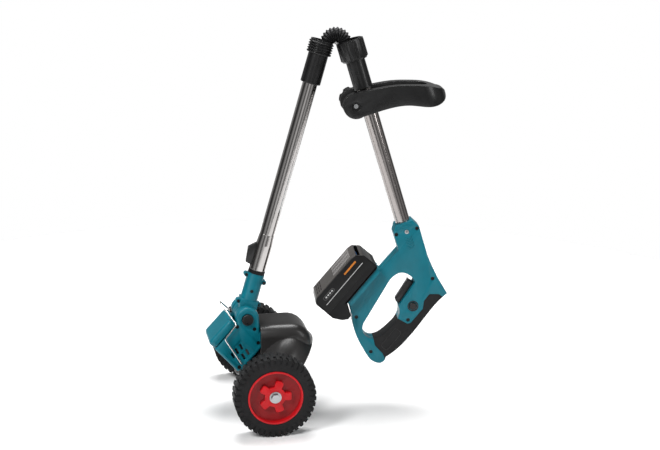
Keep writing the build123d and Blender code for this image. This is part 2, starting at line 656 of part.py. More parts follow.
with BuildPart() as swivel_spigot:
    with BuildSketch(on(SHAFT, at=(0, 0, FLANGE_BOTTOM + 0.4))):
        Circle(NECK_BORE + 0.9)
    extrude(amount=FLANGE_TOP - FLANGE_BOTTOM - 0.8)
    with BuildSketch(on(SHAFT, at=(0, 0, FLANGE_BOTTOM + 0.4))):
        Circle(NECK_BORE - GAP)
    extrude(amount=FERRULE_BOTTOM + 1 - FLANGE_BOTTOM - 0.4)
    with BuildSketch(on(SHAFT, at=(0, 0, FERRULE_BOTTOM + 1))):
        Circle(TUBE_RADIUS - TUBE_WALL)
    extrude(amount=52)
    with BuildSketch(on(SHAFT, at=(0, 0, FLANGE_BOTTOM))):
        Circle(6)
    extrude(amount=FERRULE_BOTTOM + 40, mode=Mode.SUBTRACT)
    add(release_window.part, mode=Mode.SUBTRACT)
keep(swivel_spigot, "swivel_spigot")

keep(ring(SHAFT, NECK_BORE - GAP, FERRULE_RADIUS + 0.3, NECK_TOP + GAP, FERRULE_BOTTOM), "swivel_seal")

with BuildPart() as release_button:
    with BuildSketch(on(SHAFT, Plane.XZ, (0, WINDOW_HALF - 0.5, 0))):
        with BuildLine():
            Polyline(*RELEASE_WEDGE, close=True)
        make_face()
    extrude(amount=2 * WINDOW_HALF - 1)
    fillet(release_button.edges().filter_by(axis_y(SHAFT)).sort_by(axis_z(SHAFT))[1:4], 1.2)
keep(release_button, "swivel_release")

# ---------------------------------------------------------------- threaded collar
SLEEVE_BOTTOM = 416.6
THREAD_BOTTOM = 469.0
MOUTH = FOLD_HEIGHT - 1.0
THREAD_ROOT, THREAD_CREST = 19.2, 21.2
THREAD_PITCH = 4.2
collar_profile = [
    (TUBE_RADIUS, SLEEVE_BOTTOM), (16.6, SLEEVE_BOTTOM), (17.2, SLEEVE_BOTTOM + 1), (17.0, THREAD_BOTTOM - 1),
    (THREAD_CREST - 0.6, THREAD_BOTTOM - 1),
]
for turn in range(5):
    foot = THREAD_BOTTOM + turn * THREAD_PITCH
    collar_profile += [
        (THREAD_CREST, foot), (THREAD_CREST, foot + 1.2), (THREAD_ROOT, foot + 2.2), (THREAD_ROOT, foot + 3.2),
    ]
collar_profile += [(THREAD_ROOT, MOUTH), (16.4, MOUTH), (16.4, TUBE_TOP), (TUBE_RADIUS, TUBE_TOP)]
keep(turned(SHAFT, collar_profile, axis_z(SHAFT)), "threaded_collar")

# ---------------------------------------------------------------- hinge
KNUCKLE_RADIUS = 2.4
HINGE_PIN_RADIUS = 1.2
LEAF_HALF = 7.0


def hinge_leaf(frame, toward, knuckles, name):
    """Tab and knuckles on one tube end; toward is +1 where the tube lies below the pin."""
    with BuildPart() as leaf:
        with BuildSketch(on(frame, Plane.XZ, (0, LEAF_HALF, 0))):
            with Locations((-1.2, -toward * 1.05)):
                Rectangle(4.0, 1.5)
            Circle(KNUCKLE_RADIUS)
        extrude(amount=2 * LEAF_HALF)
        for low, high in knuckles:
            with BuildSketch(on(frame, Plane.XZ, (0, high, 0))):
                Circle(KNUCKLE_RADIUS + GAP)
            extrude(amount=high - low, mode=Mode.SUBTRACT)
        with BuildSketch(on(frame, Plane.XZ, (0, LEAF_HALF, 0))):
            Circle(HINGE_PIN_RADIUS + FIT)
        extrude(amount=2 * LEAF_HALF, mode=Mode.SUBTRACT)
    keep(leaf, name)


hinge_leaf(HINGE, 1, [(-2.8, 2.8)], "hinge_leaf_lower")
hinge_leaf(FOLDED, -1, [(-LEAF_HALF, -2.5), (2.5, LEAF_HALF)], "hinge_leaf_upper")
with BuildPart() as hinge_pin:
    with BuildSketch(on(HINGE, Plane.XZ, (0, LEAF_HALF, 0))):
        Circle(HINGE_PIN_RADIUS)
    extrude(amount=2 * LEAF_HALF)
keep(hinge_pin, "hinge_pin")

# ---------------------------------------------------------------- bellows over the folding joint
BELLOWS_RADIUS = 11.3
BELLOWS_REACH = 14.6           # hinge pin to the middle of the bellows
with BuildPart() as bellows:
    with BuildSketch(on(HINGE, Plane.XY)):
        with Locations((-BELLOWS_REACH, 0)):
            Circle(BELLOWS_RADIUS)
    revolve(axis=axis_y(HINGE), revolution_arc=FOLD_ANGLE)
keep(bellows, "joint_bellows")

# ================================================================ upper tube
UPPER_TUBE_BOTTOM, UPPER_TUBE_TOP = 8.0, 372.0
SOCKET_RADIUS = 16.3
SOCKET_END = 86.0
GUIDE_RADIUS = 20.9
keep(ring(UPPER, TUBE_RADIUS - TUBE_WALL, TUBE_RADIUS, UPPER_TUBE_BOTTOM, UPPER_TUBE_TOP), "upper_tube")

socket_profile = [
    (16.0, 1.0), (GUIDE_RADIUS, 1.0), (GUIDE_RADIUS, 5.0), (SOCKET_RADIUS, 5.0), (SOCKET_RADIUS, SOCKET_END - 1),
    (SOCKET_RADIUS - 0.8, SOCKET_END), (TUBE_RADIUS, SOCKET_END), (TUBE_RADIUS, UPPER_TUBE_BOTTOM),
    (16.0, UPPER_TUBE_BOTTOM),
]
keep(turned(UPPER, socket_profile, axis_z(UPPER)), "socket_sleeve")

# ---------------------------------------------------------------- union nut on its slip washer
NUT_MOUTH, NUT_END = 2.2, 36.2
NUT_ROOT, NUT_CREST = 22.5, 23.4
NUT_RIBS = 12
RIB_WIDTH = 8.4
with BuildPart() as union_nut:
    with BuildSketch(on(UPPER, at=(0, 0, NUT_MOUTH + 2))):
        Circle(NUT_ROOT)
        with PolarLocations(NUT_ROOT, NUT_RIBS):
            SlotOverall(RIB_WIDTH, 2 * (NUT_CREST - NUT_ROOT), rotation=90)
    extrude(amount=NUT_END - NUT_MOUTH - 5)
    with BuildSketch(on(UPPER, at=(0, 0, NUT_MOUTH))):
        Circle(NUT_CREST)
    extrude(amount=2)
    with BuildSketch(on(UPPER, at=(0, 0, NUT_END - 3))):
        Circle(NUT_ROOT)
    extrude(amount=3, taper=30)
    with BuildSketch(on(UPPER, at=(0, 0, NUT_MOUTH))):
        Circle(GUIDE_RADIUS + GAP)
    extrude(amount=NUT_END - NUT_MOUTH - 3.2, mode=Mode.SUBTRACT)
    with BuildSketch(on(UPPER, at=(0, 0, NUT_MOUTH))):
        Circle(SOCKET_RADIUS + 2 * GAP)
    extrude(amount=NUT_END, mode=Mode.SUBTRACT)
keep(union_nut, "union_nut")
keep(ring(UPPER, SOCKET_RADIUS + GAP, GUIDE_RADIUS, NUT_END - 6.5, NUT_END - 3.5), "nut_slip_washer")

# ================================================================ loop handle
LOOP_PIVOT = (22.0, 106.0)     # in the upper tube's X and Z
LOOP_HALF = 38.0
LOOP_TUBE_GAP = 20.6           # half gap between the two arms
LOOP_REACH = -131.0
LOOP_TOP = [(13, 84.5), (-14, 88), (-51, 93), (-80, 101), (-104, 110), (-121, 120)]
LOOP_BOTTOM = [(-122, 144), (-108, 146), (-93, 143), (-66, 132), (-46, 127.5), (-10, 126), (14, 126.5)]
LOOP_EAR = 21.5
CLAMP_HALF = 20.0
LOOP_BOLT_RADIUS = 2.5
LOOP_BOLT_END = 52.0
LOOP_SCREW_RADIUS, LOOP_SCREW_HEIGHT = 3.7, 3.4
LOOP_RECESS_RADIUS, LOOP_RECESS_DEPTH = 8.0, 4.5
LOOP_DEEP = 110.0              # more than the handle is deep along the tube

with BuildPart() as loop_clamp:
    with BuildSketch(on(UPPER, Plane.XZ, (0, CLAMP_HALF, 0))):
        with Locations((4, LOOP_PIVOT[1])):
            Rectangle(38, 22)
        with Locations(LOOP_PIVOT):
            Circle(11)
    extrude(amount=2 * CLAMP_HALF)
    with BuildSketch(on(UPPER, at=(0, 0, LOOP_PIVOT[1] - 20))):
        Circle(TUBE_RADIUS)
    extrude(amount=40, mode=Mode.SUBTRACT)
    with BuildSketch(on(UPPER, Plane.XZ, (0, CLAMP_HALF, 0))):
        with Locations(LOOP_PIVOT):
            Circle(LOOP_BOLT_RADIUS)
    extrude(amount=2 * CLAMP_HALF, mode=Mode.SUBTRACT)
keep(loop_clamp, "loop_clamp")

with BuildPart() as loop_handle:
    with BuildSketch(on(UPPER, Plane.XZ, (0, LOOP_HALF, 0))):
        with BuildLine():
            Spline(*LOOP_TOP)
            ThreePointArc(LOOP_TOP[-1], (LOOP_REACH, 132), LOOP_BOTTOM[0])
            Spline(*LOOP_BOTTOM)
            Line(LOOP_BOTTOM[-1], LOOP_TOP[0])
        make_face()
        with Locations(LOOP_PIVOT):
            Circle(LOOP_EAR)
    extrude(amount=2 * LOOP_HALF)
    # rounded front corners, seen along the tube
    with BuildSketch(on(UPPER, at=(0, 0, 60))):
        with BuildLine():
            Polyline((60, LOOP_HALF), (LOOP_REACH + 40, LOOP_HALF))
            ThreePointArc((LOOP_REACH + 40, LOOP_HALF), (LOOP_REACH, 0), (LOOP_REACH + 40, -LOOP_HALF))
            Polyline((LOOP_REACH + 40, -LOOP_HALF), (60, -LOOP_HALF), (60, LOOP_HALF))
        make_face()
    extrude(amount=LOOP_DEEP, mode=Mode.INTERSECT)
    # hand opening, and the gap for the clamp and the tube
    with BuildSketch(on(UPPER, at=(0, 0, 60))):
        with BuildLine():
            Polyline((60, LOOP_TUBE_GAP), (LOOP_REACH + 46, LOOP_TUBE_GAP))
            ThreePointArc(
                (LOOP_REACH + 46, LOOP_TUBE_GAP), (LOOP_REACH + 26, 0), (LOOP_REACH + 46, -LOOP_TUBE_GAP)
            )
            Polyline((LOOP_REACH + 46, -LOOP_TUBE_GAP), (60, -LOOP_TUBE_GAP), (60, LOOP_TUBE_GAP))
        make_face()
    extrude(amount=LOOP_DEEP, mode=Mode.SUBTRACT)
    with BuildSketch(on(UPPER, Plane.XZ, (0, LOOP_HALF, 0))):
        with Locations(LOOP_PIVOT):
            Circle(LOOP_BOLT_RADIUS + FIT)
    extrude(amount=2 * LOOP_HALF, mode=Mode.SUBTRACT)
    with BuildSketch(on(UPPER, Plane.XZ, (0, -LOOP_HALF, 0))):
        with Locations(LOOP_PIVOT):
            Circle(LOOP_RECESS_RADIUS)
    extrude(amount=-LOOP_RECESS_DEPTH, mode=Mode.SUBTRACT)
keep(loop_handle, "loop_handle")

with BuildPart() as loop_bolt:
    with BuildSketch(on(UPPER, Plane.XZ, (0, LOOP_BOLT_END, 0))):
        with Locations(LOOP_PIVOT):
            Circle(LOOP_BOLT_RADIUS)
    extrude(amount=LOOP_BOLT_END + LOOP_HALF - LOOP_RECESS_DEPTH + GAP)
    with BuildSketch(on(UPPER, Plane.XZ, (0, LOOP_RECESS_DEPTH - LOOP_HALF - GAP, 0))):
        with Locations(LOOP_PIVOT):
            Circle(LOOP_SCREW_RADIUS)
    extrude(amount=LOOP_SCREW_HEIGHT)
    with BuildSketch(on(UPPER, Plane.XZ, (0, -LOOP_HALF - 0.2, 0))):
        with Locations(LOOP_PIVOT):
            RegularPolygon(1.9, 6)
    extrude(amount=4, mode=Mode.SUBTRACT)
keep(loop_bolt, "loop_bolt")

KNOB_LOBES = 7
KNOB_RADIUS = 22.0
with BuildPart() as star_knob:
    with BuildSketch(on(UPPER, Plane.XZ, (0, LOOP_HALF + 0.5, 0))):
        with Locations(LOOP_PIVOT):
            Circle(KNOB_RADIUS)
            with PolarLocations(KNOB_RADIUS + 3.2, KNOB_LOBES):
                Circle(5.6, mode=Mode.SUBTRACT)
    extrude(amount=-13)
    fillet(star_knob.faces().sort_by(axis_y(UPPER))[-1].edges(), 2)
    with BuildSketch(on(UPPER, Plane.XZ, (0, LOOP_HALF + 13.5, 0))):
        with Locations(LOOP_PIVOT):
            Circle(11)
    extrude(amount=-3.5)
    with BuildSketch(on(UPPER, Plane.XZ, (0, LOOP_HALF, 0))):
        with Locations(LOOP_PIVOT):
            Circle(LOOP_BOLT_RADIUS + FIT)
    extrude(amount=-(LOOP_BOLT_END - LOOP_HALF + 0.4), mode=Mode.SUBTRACT)
keep(star_knob, "star_knob")

# ================================================================ rear handle
HANDLE_HALF = 17.0
HANDLE_WALL = 3.0
SKIN = 1.5                     # depth of the soft grip over the shells
HANDLE_TOP = 327.0
HANDLE_SPUR = [(-24, 395), (-30, 437), (-38, 470)]
GRIP_BACK = [(-38, 470), (-8, 486), (18, 505), (42, 522), (67, 537), (96, 548)]
HEEL = [(96, 548), (108, 555.5), (118, 550), (128, 527), (133.5, 500), (134, 475), (131, 458)]
SHOE_CORNER = (68.0, 387.0)
OPENING_REAR = [(49, 467), (50.5, 478), (57, 488.5), (76, 501), (98, 509.5), (114, 507), (120.5, 494), (119, 483),
                (112, 474)]
OPENING_FRONT = [(52, 418), (42, 412), (29, 410), (15.5, 419), (9.5, 434)]
GRIP_EDGE = [(99, 541), (108, 522), (106, 498), (66, 480), (55, 489), (43, 502), (37, 502), (10, 484), (4, 471),
             (-8, 462), (-24, 467)]
GRIP_OUTSIDE = [(-40, 490), (40, 560), (97, 575)]
BATTERY = spun(on(UPPER, at=(SHOE_CORNER[0], 0, SHOE_CORNER[1])), (0, -33.5, 0))
TRIGGER = spun(on(UPPER, at=(29.5, 0, 450.5)), (0, -40.0, 0))
LOCK_PLACE = (25.0, 474.0)
LOCK_RADIUS = 6.5
HANDLE_SCREWS = [(17.5, 343), (-19.5, 343), (-21, 437), (40, 495.5), (124.5, 463), (118, 531)]


def handle_outline():
    """Side view of the rear handle, without its hand opening."""
    with BuildSketch() as outline:
        with BuildLine():
            Polyline((-16, HANDLE_TOP), (-24, 341), HANDLE_SPUR[0])
            add(smooth(HANDLE_SPUR, 2))
            add(smooth(GRIP_BACK))
            add(smooth(HEEL))
            Polyline(HEEL[-1], (130.5, 429), SHOE_CORNER, (61, 396), (21.5, 371), (21.5, 339), (14, HANDLE_TOP))
            Line((14, HANDLE_TOP), (-16, HANDLE_TOP))
        make_face()
    return outline.sketch


def opening_outline():
    """The hand opening of the rear handle."""
    with BuildSketch() as outline:
        with BuildLine():
            add(smooth(OPENING_REAR))
            Line(OPENING_REAR[-1], OPENING_FRONT[0])
            add(smooth(OPENING_FRONT, 4))
            Line(OPENING_FRONT[-1], OPENING_REAR[0])
        make_face()
    return outline.sketch


def grip_outline():
    """Where the soft grip covers the handle."""
    with BuildSketch() as patch:
        with BuildLine():
            Polyline(*GRIP_EDGE, *GRIP_OUTSIDE, close=True)
        make_face()
        fillet(patch.vertices(), 4)
    return (handle_outline() - opening_outline()) & patch.sketch


grip_core = offset(handle_outline(), -SKIN) - offset(opening_outline(), SKIN)
with BuildPart() as soft_grip:
    with BuildSketch(on(UPPER, Plane.XZ, (0, HANDLE_HALF + 0.3, 0))):
        add(grip_outline())
    extrude(amount=2 * HANDLE_HALF + 0.6)
    with BuildSketch(on(UPPER, Plane.XZ, (0, HANDLE_HALF - SKIN, 0))):
        add(grip_core)
    extrude(amount=2 * (HANDLE_HALF - SKIN), mode=Mode.SUBTRACT)
keep(soft_grip, "soft_grip")

handle_screws = cross_screws(UPPER, HANDLE_SCREWS, -HANDLE_HALF + 1.2, 22, 3.1, 1.6, 1.3)
keep(handle_screws, "handle_screws")


def handle_shell(side, name):
    """One half of the rear handle, with half of the battery shoe and of the tube collar."""
    solid = handle_outline() - opening_outline()
    hollow = offset(handle_outline(), -HANDLE_WALL) - offset(opening_outline(), HANDLE_WALL)
    with BuildPart() as shell:
        with BuildSketch(on(UPPER, Plane.XZ)):
            add(solid)
        extrude(amount=side * HANDLE_HALF)
        with BuildSketch(on(BATTERY, Plane.XZ)):
            with Locations((38, 4.5)):
                Rectangle(77, 8.5)
        extrude(amount=side * 33)
        with BuildSketch(on(UPPER, Plane.XZ)):
            add(hollow)
        extrude(amount=side * (HANDLE_HALF - HANDLE_WALL), mode=Mode.SUBTRACT)
        # the battery shoe, open at its rear end
        with BuildSketch(on(BATTERY, Plane.XZ)):
            with Locations((43.5, 3)):
                Rectangle(81, 7)
        extrude(amount=side * 27.5, mode=Mode.SUBTRACT)
        # seat of the upper tube
        with BuildSketch(on(UPPER, at=(0, 0, HANDLE_TOP - 1))):
            Circle(TUBE_RADIUS)
        extrude(amount=UPPER_TUBE_TOP - HANDLE_TOP + 1, mode=Mode.SUBTRACT)
        # trigger slot
        with BuildSketch(on(TRIGGER, Plane.XZ)):
            with Locations((0, 3)):
                Rectangle(46, 20)
        extrude(amount=side * 7.2, mode=Mode.SUBTRACT)
        if side > 0:
            with BuildSketch(on(UPPER, Plane.XZ)):
                with Locations(LOCK_PLACE):
                    Circle(LOCK_RADIUS + GAP)
            extrude(amount=HANDLE_HALF, mode=Mode.SUBTRACT)
        with BuildSketch(on(UPPER, Plane.XZ, (0, -side * HANDLE_HALF, 0))):
            with Locations(*HANDLE_SCREWS):
                Circle(SCREW_RECESS)
        extrude(amount=-side * 2.5, mode=Mode.SUBTRACT)
        add(handle_screws.part, mode=Mode.SUBTRACT)
        add(soft_grip.part, mode=Mode.SUBTRACT)
    keep(shell, name)


handle_shell(1, "handle_shell_near")
handle_shell(-1, "handle_shell_far")

# ---------------------------------------------------------------- switch parts
TRIGGER_HALF = 6.5
TRIGGER_OUTLINE = [(-21, -9), (-24.5, -13.5), (-20, -11), (19, -10), (22, -7), (22, 6), (-22, 6), (-22, -8)]
with BuildPart() as trigger:
    with BuildSketch(on(TRIGGER, Plane.XZ, (0, TRIGGER_HALF, 0))):
        with BuildLine():
            Polyline(*TRIGGER_OUTLINE, close=True)
        make_face()
    extrude(amount=2 * TRIGGER_HALF)
keep(trigger, "trigger")

with BuildPart() as lock_button:
    with BuildSketch(on(UPPER, Plane.XZ, (0, -12, 0))):
        with Locations(LOCK_PLACE):
            Circle(LOCK_RADIUS)
    extrude(amount=7.5)
    fillet(lock_button.faces().sort_by(axis_y(UPPER))[0].edges(), 1.2)
keep(lock_button, "lock_button")

with BuildPart() as switch_block:
    with BuildSketch(on(TRIGGER, Plane.XZ, (0, 8, 0))):
        with Locations((-4, 21)):
            Rectangle(34, 13)
    extrude(amount=16)
keep(switch_block, "switch_block")

with BuildPart() as control_board:
    with BuildSketch(on(UPPER, Plane.XZ, (0, 1, 0))):
        with Locations((0, 392)):
            Rectangle(34, 26)
    extrude(amount=1.6)
    with BuildSketch(on(UPPER, Plane.XZ, (0, -0.6, 0))):
        with Locations((-9, 396), (6, 388)):
            Rectangle(9, 12)
    extrude(amount=6)
keep(control_board, "control_board")

with BuildPart() as terminal_block:
    with BuildSketch(on(BATTERY, Plane.XZ, (0, 11, 0))):
        with Locations((22, 10.8)):
            Rectangle(24, 8)
    extrude(amount=22)
keep(terminal_block, "terminal_block")

# ================================================================ battery pack
PACK_HALF = 37.5
PACK_OUTLINE = [(-6, -4), (-6, -34), (3, -46), (12, -48), (103, -49), (112, -42), (113, -3), (105.5, 12), (98, 19),
                (89.8, 19), (76.6, -0.6), (-3, -0.6)]
PACK_SPLIT = -14.0             # height of the seam between the two shells
PACK_WALL = 2.0
PACK_CORNER, PACK_EDGE = 4.0, 3.0
PACK_MIDDLE, PACK_ROOM = 54.0, 112.0   # of the hollow for the cells
LATCH_CENTRE = 98.5
LATCH_SIZE = (11.4, 25.2)
with BuildPart() as pack_body:
    with BuildSketch(on(BATTERY, Plane.XZ, (0, PACK_HALF, 0))):
        with BuildLine():
            Polyline(*PACK_OUTLINE, close=True)
        pack_side = make_face()
        fillet(pack_side.vertices().filter_by(lambda corner: corner.Y < -1.0 or corner.X > 80), PACK_CORNER)
    extrude(amount=2 * PACK_HALF)
    fillet(pack_body.faces().filter_by(axis_y(BATTERY)).edges(), PACK_EDGE)
    with BuildSketch(on(BATTERY, at=(LATCH_CENTRE, 0, 4))):
        Rectangle(LATCH_SIZE[0] + 2 * GAP, LATCH_SIZE[1] + 2 * GAP)
    extrude(amount=30, mode=Mode.SUBTRACT)


def pack_shell(bottom, top, room_bottom, room_top, name):
    """The slice of the battery pack between two heights, hollowed between two others."""
    with BuildPart() as shell:
        add(pack_body.part)
        with BuildSketch(on(BATTERY, at=(53, 0, bottom))):
            Rectangle(140, 90)
        extrude(amount=top - bottom, mode=Mode.INTERSECT)
        with BuildSketch(on(BATTERY, at=(PACK_MIDDLE, 0, room_bottom))):
            Rectangle(PACK_ROOM, 2 * (PACK_HALF - PACK_WALL))
        extrude(amount=room_top - room_bottom, mode=Mode.SUBTRACT)
        if top > 0:
            for half in (1, -1):
                with BuildSketch(on(BATTERY, Plane.XZ, (0, half * 27.2, 0))):
                    with Locations((38, -3)):
                        Rectangle(83, 2.5)
                extrude(amount=-half * 12, mode=Mode.SUBTRACT)
    keep(shell, name)


pack_shell(-60, PACK_SPLIT, -44, PACK_SPLIT, "battery_case")
pack_shell(PACK_SPLIT, 30, PACK_SPLIT, -6, "battery_cover")

CELL_RADIUS, CELL_LENGTH = 9.2, 65.0
with BuildPart() as battery_cells:
    with BuildSketch(on(BATTERY, Plane.XZ, (0, CELL_LENGTH / 2, 0))):
        for row in (-34, -15.2):
            with Locations((PACK_MIDDLE, row)):
                with GridLocations(2 * CELL_RADIUS + 0.4, 1, 5, 1):
                    Circle(CELL_RADIUS)
    extrude(amount=CELL_LENGTH)
keep(battery_cells, "battery_cells")

with BuildPart() as battery_rails:
    with BuildSketch(on(BATTERY, Plane.XZ, (0, 26.5, 0))):
        with Locations((40.5, 2.4)):
            Rectangle(71, 5.4)
    extrude(amount=53)
    for slot_y in (-14, 0, 14):
        with BuildSketch(on(BATTERY, at=(12, slot_y, 1))):
            Rectangle(30, 3)
        extrude(amount=8, mode=Mode.SUBTRACT)
keep(battery_rails, "battery_rails")

with BuildPart() as battery_latch:
    with BuildSketch(on(BATTERY, at=(LATCH_CENTRE, 0, 7.5))):
        Rectangle(*LATCH_SIZE)
    extrude(amount=10.5)
    fillet(battery_latch.faces().sort_by(axis_z(BATTERY))[-1].edges(), 1.5)
keep(battery_latch, "battery_latch")
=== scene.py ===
"""Looks of the folding cordless lawn edger: materials, rounded edges, bellows, marks, light and camera."""
import json
from math import cos, pi, radians, sin

import bmesh
import bpy
from mathutils import Matrix, Vector

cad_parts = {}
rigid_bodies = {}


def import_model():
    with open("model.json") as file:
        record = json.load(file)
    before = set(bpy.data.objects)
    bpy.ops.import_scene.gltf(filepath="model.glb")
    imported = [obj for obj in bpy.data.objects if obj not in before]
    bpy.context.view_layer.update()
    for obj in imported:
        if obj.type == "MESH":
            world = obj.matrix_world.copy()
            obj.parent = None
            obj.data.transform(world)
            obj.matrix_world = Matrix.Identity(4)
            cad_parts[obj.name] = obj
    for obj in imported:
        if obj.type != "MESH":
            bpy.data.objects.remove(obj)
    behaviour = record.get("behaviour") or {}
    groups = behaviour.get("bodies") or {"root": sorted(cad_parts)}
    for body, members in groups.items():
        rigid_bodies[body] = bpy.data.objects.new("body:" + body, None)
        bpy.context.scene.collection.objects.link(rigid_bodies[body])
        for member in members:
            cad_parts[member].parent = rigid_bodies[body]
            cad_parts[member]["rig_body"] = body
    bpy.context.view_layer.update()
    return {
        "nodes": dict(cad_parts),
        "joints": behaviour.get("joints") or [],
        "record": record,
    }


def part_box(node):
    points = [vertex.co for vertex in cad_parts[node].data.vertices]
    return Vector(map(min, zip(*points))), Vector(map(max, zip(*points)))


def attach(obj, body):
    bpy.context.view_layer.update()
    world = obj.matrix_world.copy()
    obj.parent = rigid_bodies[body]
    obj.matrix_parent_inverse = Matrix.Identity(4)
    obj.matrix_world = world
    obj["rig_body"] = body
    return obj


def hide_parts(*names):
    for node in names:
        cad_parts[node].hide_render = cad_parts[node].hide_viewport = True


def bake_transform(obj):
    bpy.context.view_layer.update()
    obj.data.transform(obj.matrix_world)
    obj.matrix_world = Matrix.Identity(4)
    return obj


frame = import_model()
nodes = frame["nodes"]
scene = bpy.context.scene
MM = 0.001


# ---------------------------------------------------------------- frames of the leaning parts
def joint(name):
    """The record's joint of that name."""
    return next(j for j in frame["joints"] if j["name"] == name)


def mount(name):
    """The record's mount of that name."""
    return next(m for m in frame["record"]["mounts"] if m["name"] == name)


def basis(x, z, origin):
    """A frame from its X and Z directions and its origin, in metres."""
    x, z = Vector(x).normalized(), Vector(z).normalized()
    y = z.cross(x)
    turn = Matrix((x, y, z)).transposed().to_4x4()
    return Matrix.Translation(Vector(origin)) @ turn


# distances in millimetres from the origin of a frame to the place that the record states
NUT_HEIGHT = 20
SHOE_MIDDLE = 38

SHAFT = basis(joint("swivel_release_press")["axis"], joint("head_swivel")["axis"],
              joint("head_tilt")["pos_m"])
HINGE = basis(SHAFT.col[0].xyz, SHAFT.col[2].xyz, joint("tube_fold")["pos_m"])
UPPER_Z = Vector(joint("nut_slide")["axis"])
UPPER_Y = Vector(joint("loop_tilt")["axis"])
NUT_PLACE = Vector(joint("nut_spin")["pos_m"])
UPPER = basis(UPPER_Y.cross(UPPER_Z), UPPER_Z, NUT_PLACE - UPPER_Z * NUT_HEIGHT * MM)
BATTERY_X = Vector(joint("battery_slide")["axis"])
BATTERY_Z = -Vector(joint("battery_latch_press")["axis"])
SHOE_PLACE = Vector(mount("battery_shoe")["pos_m"])
BATTERY = basis(BATTERY_X, BATTERY_Z, SHOE_PLACE - BATTERY_X * SHOE_MIDDLE * MM)
WHEEL_FACE = max(abs(corner[1]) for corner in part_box("tyre_near"))


def at(place, x, y, z):
    """A point given in millimetres in one of the frames, in the row frame."""
    return place @ Vector((x * MM, y * MM, z * MM))


# ---------------------------------------------------------------- materials
# noise scales of a plastic's colour and gloss and of a metal's stains, then in metres the depths of
# relief, and how far in from the wheel's face the painted shade of its hub's recess reaches
MOTTLE_SCALE, GLOSS_SCALE, STAIN_SCALE = 38.0, 160.0, 22.0
GRAIN_DEPTH, LINE_DEPTH = 0.00012, 0.00005
HUB_SHADE_DEPTH = 0.022


class Shader:
    """A material's node tree, built up call by call."""

    def __init__(self, name):
        self.material = bpy.data.materials.new(name)
        self.material.use_nodes = True
        self.tree = self.material.node_tree
        self.surface = self.tree.nodes["Principled BSDF"]
        self.place = self.add("ShaderNodeTexCoord").outputs["Object"]

    def add(self, kind, **values):
        """A node with its plain properties and its sockets set."""
        node = self.tree.nodes.new(kind)
        for key, value in values.items():
            if hasattr(node, key):
                setattr(node, key, value)
            else:
                node.inputs[key.replace("_", " ")].default_value = value
        return node

    def link(self, output, target):
        self.tree.links.new(output, target)

    def noise(self, scale, detail=3.0, stretch=None):
        """Noise over the object, stretched along one direction if asked."""
        node = self.add("ShaderNodeTexNoise", Scale=scale, Detail=detail)
        if stretch:
            mapping = self.add("ShaderNodeMapping", Scale=stretch)
            self.link(self.place, mapping.inputs["Vector"])
            self.link(mapping.outputs["Vector"], node.inputs["Vector"])
        else:
            self.link(self.place, node.inputs["Vector"])
        return node.outputs["Fac"]

    def ramp(self, factor, low, high, start=0.3, end=0.7):
        """A factor turned into a colour between low and high."""
        node = self.add("ShaderNodeValToRGB")
        points = node.color_ramp.elements
        points[0].position, points[0].color = start, (*low, 1)
        points[1].position, points[1].color = end, (*high, 1)
        self.link(factor, node.inputs["Fac"])
        return node.outputs["Color"]

    def span(self, factor, low, high):
        """A factor from 0 to 1 spread over low to high."""
        node = self.add("ShaderNodeMapRange", To_Min=low, To_Max=high)
        self.link(factor, node.inputs["Value"])
        return node.outputs["Result"]

    def edges(self, radius):
        """Rounded normals, and a mask that is high along sharp edges."""
        round_ = self.add("ShaderNodeBevel", samples=4, Radius=radius)
        flat = self.add("ShaderNodeNewGeometry")
        dot = self.add("ShaderNodeVectorMath", operation="DOT_PRODUCT")
        self.link(round_.outputs["Normal"], dot.inputs[0])
        self.link(flat.outputs["Normal"], dot.inputs[1])
        mask = self.add("ShaderNodeMapRange", From_Min=1.0, From_Max=0.86, To_Min=0.0, To_Max=1.0)
        self.link(dot.outputs["Value"], mask.inputs["Value"])
        return round_.outputs["Normal"], mask.outputs["Result"]

    def bump(self, height, strength, depth, normal=None):
        """Height felt as relief, on top of a normal."""
        node = self.add("ShaderNodeBump", Strength=strength, Distance=depth)
        self.link(height, node.inputs["Height"])
        if normal:
            self.link(normal, node.inputs["Normal"])
        return node.outputs["Normal"]

    def mix(self, factor, one, two):
        """Two colours mixed by a factor."""
        node = self.add("ShaderNodeMix", data_type="RGBA")
        self.link(factor, node.inputs[0])
        for value, socket in ((one, node.inputs[6]), (two, node.inputs[7])):
            if isinstance(value, tuple):
                socket.default_value = (*value, 1)
            else:
                self.link(value, socket)
        return node.outputs[2]


def shade(colour, factor):
    """A colour made lighter or darker."""
    return tuple(min(1.0, c * factor) for c in colour)


def plastic(name, colour, rough=0.42, grain=1400.0, relief=0.25, mottle=0.10, worn=0.35, round_edge=0.0007,
            coat=0.0, specular=0.2):
    """Moulded plastic: fine spark-eroded grain, slightly uneven colour, and lighter rubbed edges."""
    s = Shader(name)
    tone = s.ramp(s.noise(MOTTLE_SCALE, 4.0), shade(colour, 1 - mottle), shade(colour, 1 + mottle))
    normal, edge = s.edges(round_edge)
    rubbed = s.span(edge, 0.0, worn)
    pale = tuple(min(1.0, c * 1.4 + 0.006) for c in colour)
    s.link(s.mix(rubbed, tone, pale), s.surface.inputs["Base Color"])
    s.link(s.span(s.noise(GLOSS_SCALE, 5.0), rough - 0.06, rough + 0.08), s.surface.inputs["Roughness"])
    s.link(s.bump(s.noise(grain, 2.0), relief, GRAIN_DEPTH, normal), s.surface.inputs["Normal"])
    s.surface.inputs["Coat Weight"].default_value = coat
    s.surface.inputs["Coat Roughness"].default_value = 0.2
    s.surface.inputs["Specular IOR Level"].default_value = specular
    return s.material


def reopened(material):
    """A Shader for a material that is already built."""
    s = Shader.__new__(Shader)
    s.material, s.tree = material, material.node_tree
    s.surface = s.tree.nodes["Principled BSDF"]
    return s


